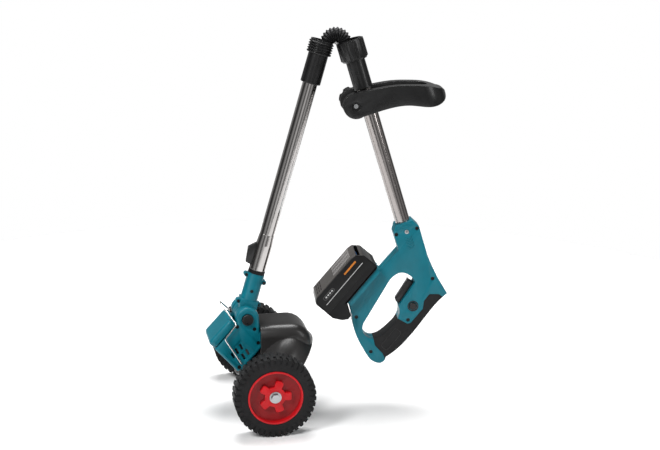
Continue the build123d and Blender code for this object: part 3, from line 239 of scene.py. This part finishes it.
def pack_plastic(name, dark, light):
    """Black plastic with painted light: paler on the faces that look out of the pack's flat side."""
    s = reopened(plastic(name, dark, rough=0.34, grain=1000.0, relief=0.3, mottle=0.15))
    # painted light: faces turned out of the pack's flat side are mixed towards the paler colour
    normal = s.add("ShaderNodeTexCoord").outputs["Normal"]
    lit_facing = s.add("ShaderNodeVectorMath", operation="DOT_PRODUCT")
    s.link(normal, lit_facing.inputs[0])
    lit_facing.inputs[1].default_value = tuple(-BATTERY.col[2].xyz)
    mask = s.add("ShaderNodeMapRange", From_Min=0.35, From_Max=0.9)
    s.link(lit_facing.outputs["Value"], mask.inputs["Value"])
    base = s.surface.inputs["Base Color"]
    s.link(s.mix(mask.outputs["Result"], base.links[0].from_socket, light), base)
    return s.material


def hub_plastic(name, colour):
    """Red plastic with painted shade deeper in the wheel: duller in the sunk web, black on its inner side.
    """
    material = plastic(name, colour, rough=0.33, grain=1200.0, relief=0.14, mottle=0.10, coat=0.05)
    s = reopened(material)
    place = s.add("ShaderNodeTexCoord").outputs["Object"]
    parts = s.add("ShaderNodeSeparateXYZ")
    s.link(place, parts.inputs["Vector"])
    side = s.add("ShaderNodeMath", operation="ABSOLUTE")
    s.link(parts.outputs["Y"], side.inputs[0])
    depth = s.add("ShaderNodeMapRange", From_Min=WHEEL_FACE - HUB_SHADE_DEPTH, From_Max=WHEEL_FACE)
    s.link(side.outputs["Value"], depth.inputs["Value"])
    # painted shade: the hub's red is darkened by depth from the wheel's face, dull in the web and black
    # inside
    bands = s.add("ShaderNodeValToRGB")
    stops = bands.color_ramp.elements
    stops[0].position, stops[0].color = 0.22, (0.012, 0.012, 0.013, 1)
    stops[1].position, stops[1].color = 0.70, (1, 1, 1, 1)
    recess_shade_mid = stops.new(0.42)
    recess_shade_mid.color = (0.42, 0.40, 0.40, 1)
    s.link(depth.outputs["Result"], bands.inputs["Fac"])
    base = s.surface.inputs["Base Color"]
    recess_shade_tint = s.add("ShaderNodeMix", data_type="RGBA", blend_type="MULTIPLY")
    recess_shade_tint.inputs[0].default_value = 1.0
    s.link(base.links[0].from_socket, recess_shade_tint.inputs[6])
    s.link(bands.outputs["Color"], recess_shade_tint.inputs[7])
    s.link(recess_shade_tint.outputs[2], base)
    return material


def metal(name, colour, rough, stretch=(1, 1, 1), scale=400.0, relief=0.1, stain=0.12):
    """Metal with fine lines along one direction and faint stains."""
    s = Shader(name)
    lines = s.noise(scale, 4.0, stretch)
    normal, edge = s.edges(0.0004)
    tone = s.ramp(s.noise(STAIN_SCALE, 5.0), shade(colour, 1 - stain), colour)
    s.link(tone, s.surface.inputs["Base Color"])
    s.surface.inputs["Metallic"].default_value = 1.0
    s.link(s.span(lines, rough * 0.7, rough * 1.4), s.surface.inputs["Roughness"])
    s.link(s.bump(lines, relief, LINE_DEPTH, normal), s.surface.inputs["Normal"])
    return s.material


def along(direction, fine=1.0, coarse=0.03):
    """A noise stretch that draws lines along the world axis nearest to a direction."""
    main = max(range(3), key=lambda i: abs(direction[i]))
    return tuple(coarse if i == main else fine for i in range(3))


TEAL = (0.0, 0.128, 0.172)
BLACK = (0.006, 0.006, 0.0063)
teal = plastic("teal_shell", TEAL, rough=0.36, grain=1700.0, relief=0.16, mottle=0.09, coat=0.04,
               specular=0.28)
black = plastic("black_plastic", BLACK, rough=0.29, grain=1300.0, relief=0.07, mottle=0.25, specular=0.42)
black_matt = plastic("black_matt", (0.008, 0.008, 0.0085), rough=0.52, grain=900.0, relief=0.35,
                     mottle=0.25)
guard_grey = plastic("guard_grey", (0.018, 0.0172, 0.017), rough=0.30, grain=1100.0, relief=0.14,
                     mottle=0.15, specular=0.4)
pack_painted_light = pack_plastic("pack_painted_light_face", BLACK, (0.075, 0.070, 0.066))
grip = plastic("grip_rubber", (0.012, 0.012, 0.0125), rough=0.66, grain=520.0, relief=0.6, mottle=0.2,
               worn=0.1)
rubber = plastic("bellows_rubber", (0.006, 0.006, 0.0065), rough=0.46, grain=700.0, relief=0.3, mottle=0.3,
                 worn=0.1)
tyre_rubber = plastic("tyre_rubber", (0.008, 0.008, 0.0085), rough=0.62, grain=620.0, relief=0.5,
                      mottle=0.3, worn=0.45)
red = hub_plastic("hub_red", (0.46, 0.006, 0.010))
green = plastic("circuit_board", (0.01, 0.14, 0.05), rough=0.4)
blue = plastic("cell_wrap", (0.02, 0.09, 0.25), rough=0.3)
iron = plastic("motor_iron", (0.16, 0.16, 0.17), rough=0.5)
shaft_lines = along(SHAFT.col[2].xyz)
upper_lines = along(UPPER.col[2].xyz)
chrome_lower = metal("chrome_lower", (0.52, 0.50, 0.49), 0.13, shaft_lines)
# painted reflection: a darker, browner copy of the lower tube's chrome, for the darker reflections of the
# upper tube
chrome_upper_painted_reflection = metal("chrome_upper_painted_reflection", (0.36, 0.335, 0.325), 0.13, upper_lines)
wire_steel = metal("wire_steel", (0.72, 0.72, 0.71), 0.22)
steel = metal("steel", (0.62, 0.62, 0.62), 0.28)
zinc = metal("zinc", (0.42, 0.43, 0.44), 0.34, scale=900.0)
bronze = metal("bronze", (0.55, 0.38, 0.20), 0.35)
dark_screw = metal("dark_screw", (0.03, 0.03, 0.03), 0.4)

FINISH = {
    teal: ["head_shell_near", "head_shell_far", "motor_cap", "neck_shell_near", "neck_shell_far",
           "handle_shell_near", "handle_shell_far"],
    black: ["tilt_button", "swivel_release", "threaded_collar", "socket_sleeve", "union_nut",
            "nut_slip_washer", "loop_clamp", "loop_handle", "star_knob", "trigger", "lock_button",
            "swivel_spigot", "switch_block", "terminal_block"],
    black_matt: ["battery_cover", "battery_latch"],
    guard_grey: ["guard", "axle_brackets"],
    pack_painted_light: ["battery_case", "battery_rails"],
    grip: ["soft_grip"],
    rubber: ["joint_bellows", "swivel_seal"],
    tyre_rubber: ["tyre_near", "tyre_far"],
    red: ["wheel_hub_near", "wheel_hub_far"],
    green: ["control_board"],
    blue: ["battery_cells"],
    iron: ["motor_can", "rotor"],
    chrome_lower: ["lower_tube", "tube_ferrule"],
    chrome_upper_painted_reflection: ["upper_tube"],
    wire_steel: ["plant_guard"],
    steel: ["tilt_pin", "hinge_pin", "hinge_leaf_lower", "hinge_leaf_upper", "cutter_blade", "blade_flange",
            "blade_nut", "motor_bearings"],
    zinc: ["axle_bolts", "axle_washers", "axle_nuts", "loop_bolt"],
    bronze: ["wheel_bushing_near", "wheel_bushing_far"],
    dark_screw: ["head_screws", "handle_screws", "neck_screws"],
}


def paint(obj, material):
    """Gives an object one material."""
    obj.data.materials.clear()
    obj.data.materials.append(material)


finish_of = {node: material for material, names in FINISH.items() for node in names}
for node, obj in nodes.items():
    paint(obj, finish_of[node])


# ---------------------------------------------------------------- pieces
def new_piece(name, mesh, material, body):
    """A mesh shown as a piece of the object on one of its bodies."""
    obj = bpy.data.objects.new(name, mesh)
    scene.collection.objects.link(obj)
    paint(obj, material)
    if body:
        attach(obj, body)
    return obj


def apply_modifiers(obj):
    """Bakes an object's modifiers into its mesh."""
    shape = bpy.data.meshes.new_from_object(obj.evaluated_get(bpy.context.evaluated_depsgraph_get()))
    obj.modifiers.clear()
    obj.data = shape


def smooth_shaded(mesh, angle=32):
    """Smooth shading, with edges sharper than an angle kept crisp."""
    for face in mesh.polygons:
        face.use_smooth = True
    mesh.set_sharp_from_angle(angle=radians(angle))


def softened(node, width, segments=2, angle=28):
    """A copy of a CAD node with rounded edges, shown in its place."""
    source = nodes[node]
    mesh = source.data.copy()
    shape = bmesh.new()
    shape.from_mesh(mesh)
    bmesh.ops.remove_doubles(shape, verts=shape.verts, dist=2e-6)
    bmesh.ops.dissolve_limit(shape, angle_limit=radians(1.0), verts=shape.verts, edges=shape.edges)
    shape.to_mesh(mesh)
    shape.free()
    obj = new_piece(node + "_rounded", mesh, finish_of[node], None)
    bevel = obj.modifiers.new("edges", "BEVEL")
    bevel.width = width * MM
    bevel.segments = segments
    bevel.limit_method = "ANGLE"
    bevel.angle_limit = radians(angle)
    bevel.miter_outer = "MITER_ARC"
    apply_modifiers(obj)
    smooth_shaded(obj.data, 40)
    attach(obj, source["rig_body"])
    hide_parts(node)
    return obj


# width in millimetres of the rounding on the edges of each node
ROUNDED = {
    "handle_shell_near": 2.0, "handle_shell_far": 2.0, "head_shell_near": 0.8, "head_shell_far": 0.8,
    "motor_cap": 0.8, "neck_shell_near": 0.7, "neck_shell_far": 0.7, "loop_handle": 2.2, "loop_clamp": 1.2,
    "star_knob": 0.8, "union_nut": 0.5, "trigger": 0.9, "guard": 1.0, "battery_case": 0.8,
    "battery_cover": 0.5, "swivel_release": 0.5, "tyre_near": 0.5, "tyre_far": 0.5, "wheel_hub_near": 0.5,
    "wheel_hub_far": 0.5, "soft_grip": 0.5,
}
for node, width in ROUNDED.items():
    softened(node, width)


# ---------------------------------------------------------------- bellows over the folding joint
# lengths in millimetres: the hinge to the bellows' middle line, its radii, half the width of a ridge and
# of a valley, and the step between the rings of its straight ends
FOLD = joint("tube_fold")["range_deg"][1]
REACH = 14.6
RIDGE, VALLEY = 12.3, 9.9
HALF_RIDGE, HALF_VALLEY = 0.5, 0.35
END_RINGS, END_STEP = 6, 1.5
PLEATS = 10
SIDES = 40


def bellows_rings():
    """Centre, outward direction and radius of each ring, in the hinge's frame and millimetres."""
    rings = []
    for step in range(2 * PLEATS + 1):
        turn = radians(FOLD) * step / (2 * PLEATS)
        out = Vector((-cos(turn), 0, sin(turn)))
        ahead = Vector((sin(turn), 0, cos(turn)))
        radius = RIDGE if step % 2 else VALLEY
        crest = HALF_RIDGE if step % 2 else HALF_VALLEY
        for lean in (-crest, crest):
            rings.append((out * REACH + ahead * lean, out, radius))
    start_out, end_out = rings[0][1], rings[-1][1]
    back = Vector((sin(radians(FOLD)), 0, cos(radians(FOLD))))
    start, end = [], []
    for i in range(END_RINGS):
        below = Vector((0, 0, (i - END_RINGS) * END_STEP))
        start.append((start_out * REACH + below, start_out, RIDGE if i % 4 == 1 else VALLEY))
        beyond = back * ((i + 1) * END_STEP)
        end.append((end_out * REACH + beyond, end_out, RIDGE if i % 4 == 2 else VALLEY))
    return start + rings + end


def bellows():
    """Corrugated rubber tube that arches over the hinge."""
    shape = bmesh.new()
    loops = []
    for centre, out, radius in bellows_rings():
        loop = []
        for side in range(SIDES):
            turn = 2 * pi * side / SIDES
            point = centre + out * (radius * cos(turn)) + Vector((0, radius * sin(turn), 0))
            loop.append(shape.verts.new(HINGE @ (point * MM)))
        loops.append(loop)
    for one, two in zip(loops, loops[1:]):
        for side in range(SIDES):
            after = (side + 1) % SIDES
            shape.faces.new((one[side], one[after], two[after], two[side]))
    shape.faces.new(loops[0])
    shape.faces.new(list(reversed(loops[-1])))
    bmesh.ops.recalc_face_normals(shape, faces=shape.faces)
    mesh = bpy.data.meshes.new("bellows")
    shape.to_mesh(mesh)
    shape.free()
    smooth_shaded(mesh, 60)
    obj = new_piece("joint_bellows_pleated", mesh, rubber, None)
    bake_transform(obj)
    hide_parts("joint_bellows")


bellows()

# ---------------------------------------------------------------- small raised and marked details
def oval(x, z, wide, high, corner, turn=0.0, steps=6):
    """Outline of a rounded rectangle in a frame's X and Z, in millimetres."""
    points = []
    for quarter in range(4):
        side_x = (1, -1, -1, 1)[quarter] * (wide / 2 - corner)
        side_z = (1, 1, -1, -1)[quarter] * (high / 2 - corner)
        for step in range(steps + 1):
            angle = (quarter + step / steps) * pi / 2
            px, pz = side_x + corner * cos(angle), side_z + corner * sin(angle)
            points.append((x + px * cos(turn) - pz * sin(turn), z + px * sin(turn) + pz * cos(turn)))
    return points


def disc(x, z, across, steps=6):
    """Outline of a circle, as a rounded square that is nearly all corner."""
    return oval(x, z, across, across, across / 2 - 0.01, steps=steps)


def slab(name, place, outlines, low, high, material, body, bevel=0.0):
    """Flat shapes in a frame's XZ plane, thick from low to high along its Y."""
    shape = bmesh.new()
    for outline in outlines:
        rings = [[shape.verts.new(at(place, x, y, z)) for x, z in outline] for y in (low, high)]
        shape.faces.new(rings[0])
        shape.faces.new(list(reversed(rings[1])))
        for number in range(len(outline)):
            after = (number + 1) % len(outline)
            shape.faces.new((rings[0][number], rings[1][number], rings[1][after], rings[0][after]))
    bmesh.ops.recalc_face_normals(shape, faces=shape.faces)
    finish_piece(shape, name, material, body, bevel)


def frame_band(name, place, outer, inner, low, high, material, body):
    """A closed band between two outlines of the same length."""
    shape = bmesh.new()
    loops = [[shape.verts.new(at(place, x, y, z)) for x, z in outline]
             for outline, y in ((outer, low), (outer, high), (inner, high), (inner, low))]
    for one, two in zip(loops, loops[1:] + loops[:1]):
        for number in range(len(one)):
            after = (number + 1) % len(one)
            shape.faces.new((one[number], one[after], two[after], two[number]))
    bmesh.ops.recalc_face_normals(shape, faces=shape.faces)
    finish_piece(shape, name, material, body, 0.0)


def finish_piece(shape, name, material, body, bevel):
    """Turns a built shape into a piece with softened edges."""
    mesh = bpy.data.meshes.new(name)
    shape.to_mesh(mesh)
    shape.free()
    obj = new_piece(name, mesh, material, None)
    if bevel:
        edges = obj.modifiers.new("edges", "BEVEL")
        edges.width, edges.segments = bevel * MM, 2
        apply_modifiers(obj)
    smooth_shaded(obj.data, 40)
    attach(obj, body)


white_mark = plastic("white_mark", (0.55, 0.55, 0.55), rough=0.4, worn=0.0)
orange_mark = plastic("orange_mark", (0.50, 0.16, 0.02), rough=0.4, worn=0.0)
dull_mark = plastic("dull_mark", (0.09, 0.09, 0.09), rough=0.4, worn=0.0)
window_grey = plastic("window_grey", (0.20, 0.19, 0.185), rough=0.16, relief=0.05, worn=0.0, coat=0.5)

# places in millimetres in the frame of the upper tube, the battery or the shaft
HANDLE_FACE, PACK_FACE = -17.0, -37.5
NECK_SCREW_HEAD, NECK_SCREW_ROOT = -15.9, -13.0
CHEVRONS = (352, 357.5, 363, 368.5)
COLLAR_RIBS = (330.5, 333.5, 336.5)
SCREW_X, SCREW_Z = -1, 343.5
LOCK_X, LOCK_Z = 25, 474
PANEL_X, PANEL_Z, PANEL_TURN = 78, 520, radians(34)
LEVEL_X, LEVEL_Z = 84, -36


def on_handle(name, outlines, proud, sunk, material, bevel=0.0):
    """Flat shapes on the rear handle's near face, standing proud of it and rooted in it."""
    slab(name, UPPER, outlines, HANDLE_FACE - proud, HANDLE_FACE + sunk, material, "upper", bevel)


def ring_on_handle(name, outer, inner, proud):
    """A black band on the rear handle's near face."""
    frame_band(name, UPPER, outer, inner, HANDLE_FACE - proud, HANDLE_FACE + 1, black, "upper")


def on_pack(name, outlines, proud, material):
    """Flat marks on the battery's near side."""
    slab(name, BATTERY, outlines, PACK_FACE - proud, PACK_FACE + 0.5, material, "battery")


def chevron(z):
    """Outline of one chevron, from its lower ends up."""
    return [(-7, z), (-1, z + 4), (5, z), (5, z + 2), (-1, z + 6), (-7, z + 2)]


def handle_details():
    """Chevrons, screw and ribs of the collar, and the bands round the lock button and the grip's panel."""
    on_handle("handle_chevrons", [chevron(z) for z in CHEVRONS], 0.9, 0.8, teal, 0.2)
    on_handle("collar_screw", [disc(SCREW_X, SCREW_Z, 7.2)], 0.9, 1, zinc, 0.5)
    # painted shade: the screw's sunk cross slot is drawn as a dark cross laid on its head
    cross = [oval(SCREW_X, SCREW_Z, 3.4, 0.8, 0.3), oval(SCREW_X, SCREW_Z, 0.8, 3.4, 0.3)]
    on_handle("collar_screw_slot_shade", cross, 1.0, 0, dark_screw)
    on_handle("collar_ribs", [oval(0, z, 27, 1.3, 0.6) for z in COLLAR_RIBS], 0.35, 0.8, teal, 0.2)
    ring_on_handle("lock_surround", disc(LOCK_X, LOCK_Z, 19), disc(LOCK_X, LOCK_Z, 15), 0.4)
    ring_on_handle("grip_panel_groove", oval(PANEL_X, PANEL_Z, 42, 15, 4, PANEL_TURN),
                   oval(PANEL_X, PANEL_Z, 40, 13, 3, PANEL_TURN), 0.75)


def pack_marks():
    """Generic line, level window with its bars, and stripe on the battery."""
    on_pack("pack_line", [oval(53, -27, 96, 1.0, 0.4)], 0.12, white_mark)
    outer, inner = oval(LEVEL_X, LEVEL_Z, 26, 7, 3.4), oval(LEVEL_X, LEVEL_Z, 24.4, 5.4, 2.6)
    frame_band("pack_level_window", BATTERY, outer, inner, PACK_FACE - 0.15, PACK_FACE + 0.5, dull_mark,
               "battery")
    bars = [oval(LEVEL_X - 8 + 5 * n, LEVEL_Z, 3, 2.2, 0.8) for n in range(4)]
    on_pack("pack_level_bars", bars, 0.15, white_mark)
    on_pack("pack_stripe", [oval(26, -38, 30, 3.2, 0.8)], 0.12, orange_mark)


handle_details()
pack_marks()
slab("neck_centre_screw", SHAFT, [disc(0, 45, 5.6)], NECK_SCREW_HEAD, NECK_SCREW_ROOT, dark_screw,
     "neck", 0.4)

# star on the hub's web and floor of the tread, in millimetres about the wheel's centre
STAR_STEPS, STAR_ARMS, STAR_SWELL = 120, 5, 1.6
STAR_WAIST, STAR_REACH = 17.5, 27.0
STAR_BACK, STAR_FRONT = 5.0, 13.4
TREAD_ACROSS, TREAD_INSIDE, TREAD_HALF = 131.4, 120, 16.5


def star_outline():
    """Five-armed star with rounded arms, about the wheel's centre."""
    points = []
    for step in range(STAR_STEPS):
        angle = 2 * pi * step / STAR_STEPS
        swell = min(1.0, max(0.0, 0.5 + STAR_SWELL * cos(STAR_ARMS * angle)))
        reach = STAR_WAIST + (STAR_REACH - STAR_WAIST) * swell * swell * (3 - 2 * swell)
        points.append((reach * cos(angle), reach * sin(angle)))
    return points


def wheel_details(side, place):
    """The star on a wheel's web, and the rubber floor between its lugs."""
    axle = Matrix.Translation(Vector(joint(f"wheel_{place}_spin")["pos_m"]))
    low, high = sorted((-side * STAR_FRONT, -side * STAR_BACK))
    slab(f"hub_star_{place}", axle, [star_outline()], low, high, red, f"wheel_{place}", 0.8)
    outer, inner = disc(0, 0, TREAD_ACROSS, 24), disc(0, 0, TREAD_INSIDE, 24)
    frame_band(f"tread_floor_{place}", axle, outer, inner, -TREAD_HALF, TREAD_HALF, tyre_rubber,
               f"wheel_{place}")


wheel_details(1, "near")
wheel_details(-1, "far")

PACK_FLOOR = BATTERY @ Matrix.Rotation(pi / 2, 4, "X")
PANEL_ROWS = (-20, 0, 20)


def pack_floor_details():
    """Three grey windows and three rows of vents on the battery's flat side."""
    vents = [oval(88 + 4.5 * n, y, 1.8, 14, 0.8) for n in range(3) for y in PANEL_ROWS]
    windows = [oval(34, y, 44, 15, 2.5) for y in PANEL_ROWS]
    slab("pack_windows", PACK_FLOOR, windows, -49.4, -46.0, window_grey, "battery", 0.4)
    slab("pack_vents", PACK_FLOOR, vents, -49.3, -45.0, black_matt, "battery")


pack_floor_details()


# ---------------------------------------------------------------- floor, light and camera
floor_mesh = bpy.data.meshes.new("floor")
FLOOR_RADIUS, FLOOR_SIDES, FLOOR_DROP = 1.25, 96, 0.0005
rim = [(FLOOR_RADIUS * cos(2 * pi * n / FLOOR_SIDES), FLOOR_RADIUS * sin(2 * pi * n / FLOOR_SIDES), 0)
       for n in range(FLOOR_SIDES)]
floor_mesh.from_pydata(rim, [], [tuple(range(FLOOR_SIDES))])
floor = bpy.data.objects.new("floor", floor_mesh)
floor.location.z = -FLOOR_DROP
scene.collection.objects.link(floor)
paper = Shader("paper")
paper_tone = paper.ramp(paper.noise(2.0), (0.86, 0.86, 0.86), (0.88, 0.88, 0.88))
paper.link(paper_tone, paper.surface.inputs["Base Color"])
paper.surface.inputs["Roughness"].default_value = 0.9
paint(floor, paper.material)

# share of a full turn and brightness of each soft band round the object
TENT = [(0.02, 0.05), (0.10, 0.45), (0.16, 0.04), (0.22, 0.85), (0.27, 0.10), (0.33, 0.55), (0.39, 0.03),
        (0.46, 0.40), (0.55, 0.05), (0.66, 0.45), (0.76, 0.06), (0.86, 0.40), (0.95, 0.05)]


def fill_bands(elements):
    """Sets a new colour ramp's stops to the bands of the light tent."""
    elements[0].position, elements[1].position = TENT[0][0], TENT[-1][0]
    elements[0].color = (TENT[0][1],) * 3 + (1,)
    elements[1].color = (TENT[-1][1],) * 3 + (1,)
    for position, glow in TENT[1:-1]:
        elements.new(position).color = (glow, glow, glow, 1)


def studio_world():
    """A light tent with upright soft bands, which looks plain white behind the object."""
    world = bpy.data.worlds.new("studio")
    world.use_nodes = True
    tree = world.node_tree
    link = tree.links.new
    sky = tree.nodes["Background"]
    sky.inputs["Color"].default_value = (1, 1, 1, 1)
    place = tree.nodes.new("ShaderNodeTexCoord")
    heading = tree.nodes.new("ShaderNodeSeparateXYZ")
    turn = tree.nodes.new("ShaderNodeMath")
    turn.operation = "ARCTAN2"
    share = tree.nodes.new("ShaderNodeMapRange")
    share.inputs["From Min"].default_value = -pi
    share.inputs["From Max"].default_value = pi
    tent = tree.nodes.new("ShaderNodeValToRGB")
    fill_bands(tent.color_ramp.elements)
    rays = tree.nodes.new("ShaderNodeLightPath")
    level = tree.nodes.new("ShaderNodeMix")
    level.inputs[3].default_value = 1.0
    link(place.outputs["Generated"], heading.inputs["Vector"])
    link(heading.outputs["Y"], turn.inputs[0])
    link(heading.outputs["X"], turn.inputs[1])
    link(turn.outputs["Value"], share.inputs["Value"])
    link(share.outputs["Result"], tent.inputs["Fac"])
    link(rays.outputs["Is Camera Ray"], level.inputs[0])
    link(tent.outputs["Color"], level.inputs[2])
    link(level.outputs[0], sky.inputs["Strength"])
    return world


scene.world = studio_world()
scene.view_settings.view_transform = "Standard"


def softbox(name, place, target, size, power):
    """A rectangular lamp that looks at a point."""
    lamp = bpy.data.lights.new(name, "AREA")
    lamp.shape = "RECTANGLE"
    lamp.size, lamp.size_y = size
    lamp.energy = power
    obj = bpy.data.objects.new(name, lamp)
    obj.location = place
    obj.rotation_euler = (Vector(target) - Vector(place)).to_track_quat("-Z", "Y").to_euler()
    scene.collection.objects.link(obj)
    return obj


# the point that the camera and the lamps look at, and the camera's place about it, in metres
CENTRE = Vector((0.1225, 0.0, 0.317))
softbox("key", (-1.5, -1.5, 2.1), CENTRE, (0.7, 1.1), 62)
softbox("fill", (1.9, -1.6, 1.3), CENTRE, (0.4, 1.4), 12)
softbox("top", (0.3, 0.6, 2.4), CENTRE, (1.6, 1.2), 70)

AZIMUTH, ELEVATION, DISTANCE = radians(-11), radians(15), 2.69
camera_data = bpy.data.cameras.new("camera")
camera_data.lens = 85
camera_data.sensor_width = 36
camera = bpy.data.objects.new("camera", camera_data)
sight = Vector((sin(AZIMUTH) * cos(ELEVATION), -cos(AZIMUTH) * cos(ELEVATION), sin(ELEVATION)))
camera.location = CENTRE + sight * DISTANCE
camera.rotation_euler = (-sight).to_track_quat("-Z", "Y").to_euler()
scene.collection.objects.link(camera)
scene.camera = camera
